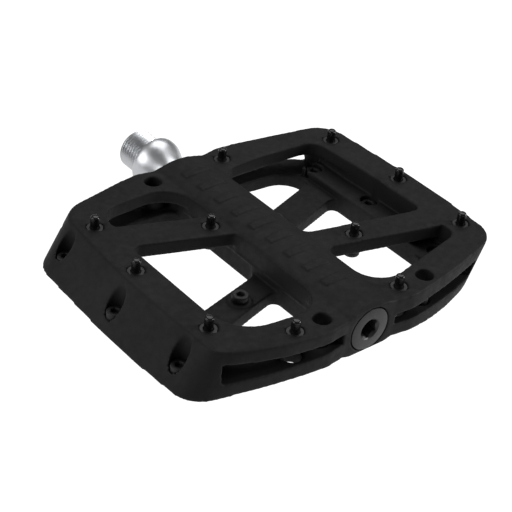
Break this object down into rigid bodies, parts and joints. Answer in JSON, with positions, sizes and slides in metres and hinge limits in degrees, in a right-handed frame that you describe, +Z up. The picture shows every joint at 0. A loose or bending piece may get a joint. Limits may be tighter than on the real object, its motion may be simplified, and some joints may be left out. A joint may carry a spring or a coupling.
{
  "type": "flat bicycle pedal",
  "caption": "Flat platform pedal: moulded open platform with traction pins on both faces, spinning on a short threaded spindle with sealed bearings, bushing and end cap",
  "frame": {"origin": "on the spindle axis, in the plane of the shoulder that seats against the crank arm", "axes": "+Y runs along the spindle towards the crank, the way the threaded end points; +Z is up, out of the upper tread; +X completes the right-handed set, towards the upper tread's leading edge"},
  "size_m": [0.1296, 0.1256, 0.0242],
  "materials": {
    "nylon_body": "matte, fine moulded grain",
    "spindle_steel": "fine turned, satin",
    "pin_steel": "dark zinc, satin",
    "nut_steel": "dark zinc, satin",
    "cap_metal": "dark anodised, satin",
    "bearing_steel": "ground",
    "ball_steel": "polished",
    "cage_brass": "satin",
    "bushing_bronze": "sintered, matte",
    "seal_rubber": "matte",
    "small_steel": "satin"
  },
  "bodies": {
    "spindle_unit": {"spindle": "spindle_steel", "lock_nut": "small_steel", "lock_washer": "small_steel", "bearing_spacer": "small_steel", "outer_bearing_inner_ring": "bearing_steel", "inner_bearing_inner_ring": "bearing_steel"},
    "platform": {"platform_body": "nylon_body", "sleeve_bushing": "bushing_bronze", "axle_seal": "seal_rubber", "end_cap": "cap_metal", "cap_o_ring": "seal_rubber", "outer_bearing_outer_ring": "bearing_steel", "inner_bearing_outer_ring": "bearing_steel", "outer_bearing_shields": "seal_rubber", "inner_bearing_shields": "seal_rubber", "upper_nuts": "nut_steel", "lower_nuts": "nut_steel", "upper_pin_1": "pin_steel", "upper_pin_2": "pin_steel", "upper_pin_3": "pin_steel", "upper_pin_4": "pin_steel", "upper_pin_5": "pin_steel", "upper_pin_6": "pin_steel", "upper_pin_7": "pin_steel", "upper_pin_8": "pin_steel", "upper_pin_9": "pin_steel", "upper_pin_10": "pin_steel", "upper_pin_11": "pin_steel", "lower_pin_1": "pin_steel", "lower_pin_2": "pin_steel", "lower_pin_3": "pin_steel", "lower_pin_4": "pin_steel", "lower_pin_5": "pin_steel", "lower_pin_6": "pin_steel", "lower_pin_7": "pin_steel", "lower_pin_8": "pin_steel", "lower_pin_9": "pin_steel", "lower_pin_10": "pin_steel", "lower_pin_11": "pin_steel"},
    "outer_ball_set": {"outer_bearing_balls": "ball_steel", "outer_bearing_cage": "cage_brass"},
    "inner_ball_set": {"inner_bearing_balls": "ball_steel", "inner_bearing_cage": "cage_brass"}
  },
  "joints": [
    {"name": "platform_spin", "type": "hinge", "parent": "spindle_unit", "child": "platform", "pos_m": [0, -0.063, 0], "axis": [0, 1, 0], "continuous": true},
    {"name": "outer_ball_spin", "type": "hinge", "parent": "spindle_unit", "child": "outer_ball_set", "pos_m": [0, -0.0975, 0], "axis": [0, 1, 0], "continuous": true},
    {"name": "inner_ball_spin", "type": "hinge", "parent": "spindle_unit", "child": "inner_ball_set", "pos_m": [0, -0.0913, 0], "axis": [0, 1, 0], "continuous": true}
  ],
  "couplings": [
    {"joint": "outer_ball_spin", "follows": "platform_spin", "ratio": 0.6143},
    {"joint": "inner_ball_spin", "follows": "platform_spin", "ratio": 0.6143}
  ]
}
